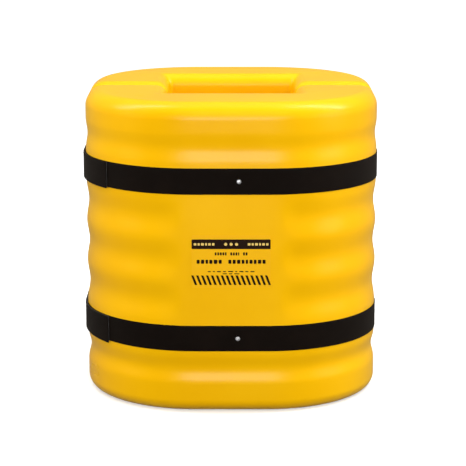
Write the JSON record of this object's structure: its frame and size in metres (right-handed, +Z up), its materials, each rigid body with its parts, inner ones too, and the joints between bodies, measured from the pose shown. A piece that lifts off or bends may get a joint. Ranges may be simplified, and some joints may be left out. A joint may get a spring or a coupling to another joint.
{
  "type": "column protector",
  "caption": "Two hollow ribbed plastic halves that close round a square building column, held by hook-and-loop straps, to absorb vehicle impact.",
  "frame": {"origin": "on the floor, on the axis of the column that the halves close round", "axes": "+Z up, the labelled front faces -Y, the halves part along Y"},
  "size_m": [0.592, 0.5911, 0.61],
  "materials": {
    "yellow_plastic": "semi-gloss moulded polyethylene",
    "black_webbing": "woven strap",
    "loop_pile": "brushed loop pile",
    "hook_tape": "hook tape",
    "zinc_steel": "zinc plated",
    "label_film": "printed film"
  },
  "bodies": {
    "front_half": {"front_half_shell": "yellow_plastic", "label": "label_film", "upper_strap_front_run": "black_webbing", "upper_strap_loop_pad": "loop_pile", "upper_strap_screw": "zinc_steel", "lower_strap_front_run": "black_webbing", "lower_strap_loop_pad": "loop_pile", "lower_strap_screw": "zinc_steel"},
    "rear_half": {"rear_half_shell": "yellow_plastic"},
    "upper_right_run": {"upper_strap_right_run": "black_webbing"},
    "upper_rear_run": {"upper_strap_rear_run": "black_webbing"},
    "upper_tail": {"upper_strap_tail": "black_webbing", "upper_strap_hook_pad": "hook_tape"},
    "lower_right_run": {"lower_strap_right_run": "black_webbing"},
    "lower_rear_run": {"lower_strap_rear_run": "black_webbing"},
    "lower_tail": {"lower_strap_tail": "black_webbing", "lower_strap_hook_pad": "hook_tape"}
  },
  "joints": [
    {"name": "rear_half_slide", "type": "slide", "parent": "front_half", "child": "rear_half", "axis": [0, 1, 0], "range_m": [0, 0.3]},
    {"name": "upper_strap_right_fold", "type": "hinge", "parent": "front_half", "child": "upper_right_run", "pos_m": [0.2943, 0.004, 0.46], "axis": [0, 0, -1], "range_deg": [0, 95]},
    {"name": "upper_strap_rear_fold", "type": "hinge", "parent": "upper_right_run", "child": "upper_rear_run", "pos_m": [0, 0.2943, 0.46], "axis": [0, 0, -1], "range_deg": [0, 95]},
    {"name": "upper_strap_tail_peel", "type": "hinge", "parent": "upper_rear_run", "child": "upper_tail", "pos_m": [-0.29089, 0.10854, 0.46], "axis": [0, 0, -1], "range_deg": [0, 100]},
    {"name": "lower_strap_right_fold", "type": "hinge", "parent": "front_half", "child": "lower_right_run", "pos_m": [0.2943, 0.004, 0.15], "axis": [0, 0, -1], "range_deg": [0, 95]},
    {"name": "lower_strap_rear_fold", "type": "hinge", "parent": "lower_right_run", "child": "lower_rear_run", "pos_m": [0, 0.2943, 0.15], "axis": [0, 0, -1], "range_deg": [0, 95]},
    {"name": "lower_strap_tail_peel", "type": "hinge", "parent": "lower_rear_run", "child": "lower_tail", "pos_m": [-0.29089, 0.10854, 0.15], "axis": [0, 0, -1], "range_deg": [0, 100]}
  ],
  "couplings": [
    {"joint": "upper_strap_right_fold", "follows": "rear_half_slide", "rad_per_m": 5.26},
    {"joint": "upper_strap_rear_fold", "follows": "rear_half_slide", "rad_per_m": 5.26},
    {"joint": "lower_strap_right_fold", "follows": "rear_half_slide", "rad_per_m": 5.26},
    {"joint": "lower_strap_rear_fold", "follows": "rear_half_slide", "rad_per_m": 5.26}
  ]
}
